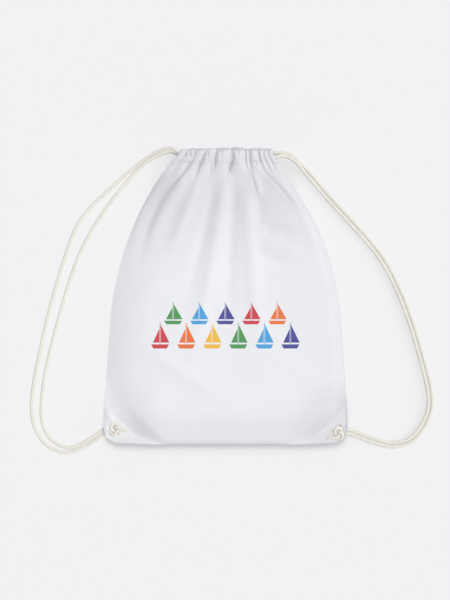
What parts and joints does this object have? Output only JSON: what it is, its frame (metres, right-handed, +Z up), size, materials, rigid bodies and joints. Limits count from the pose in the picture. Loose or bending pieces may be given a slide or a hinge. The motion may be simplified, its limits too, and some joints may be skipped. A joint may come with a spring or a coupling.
{
  "type": "drawstring gym bag",
  "caption": "Flat drawstring gym bag of white cotton with a gathered cord casing round its mouth and cream shoulder cords knotted through the bottom corners.",
  "frame": {"origin": "middle of the bag's outline on the surface it lies on, the cords left out", "axes": "+X across the bag to the right as pictured, +Y from the bottom edge to the mouth, +Z up from the back panel to the front panel"},
  "size_m": [0.5813, 0.4417, 0.0286],
  "materials": {
    "cloth": "matte woven cotton",
    "patch_cloth": "matte woven cotton",
    "cord": "matte braided cotton"
  },
  "bodies": {
    "root": {"front_panel": "cloth", "back_panel": "cloth", "left_corner_patch": "patch_cloth", "right_corner_patch": "patch_cloth", "left_cord": "cord", "right_cord": "cord", "left_knot": "cord", "right_knot": "cord"}
  },
  "joints": []
}
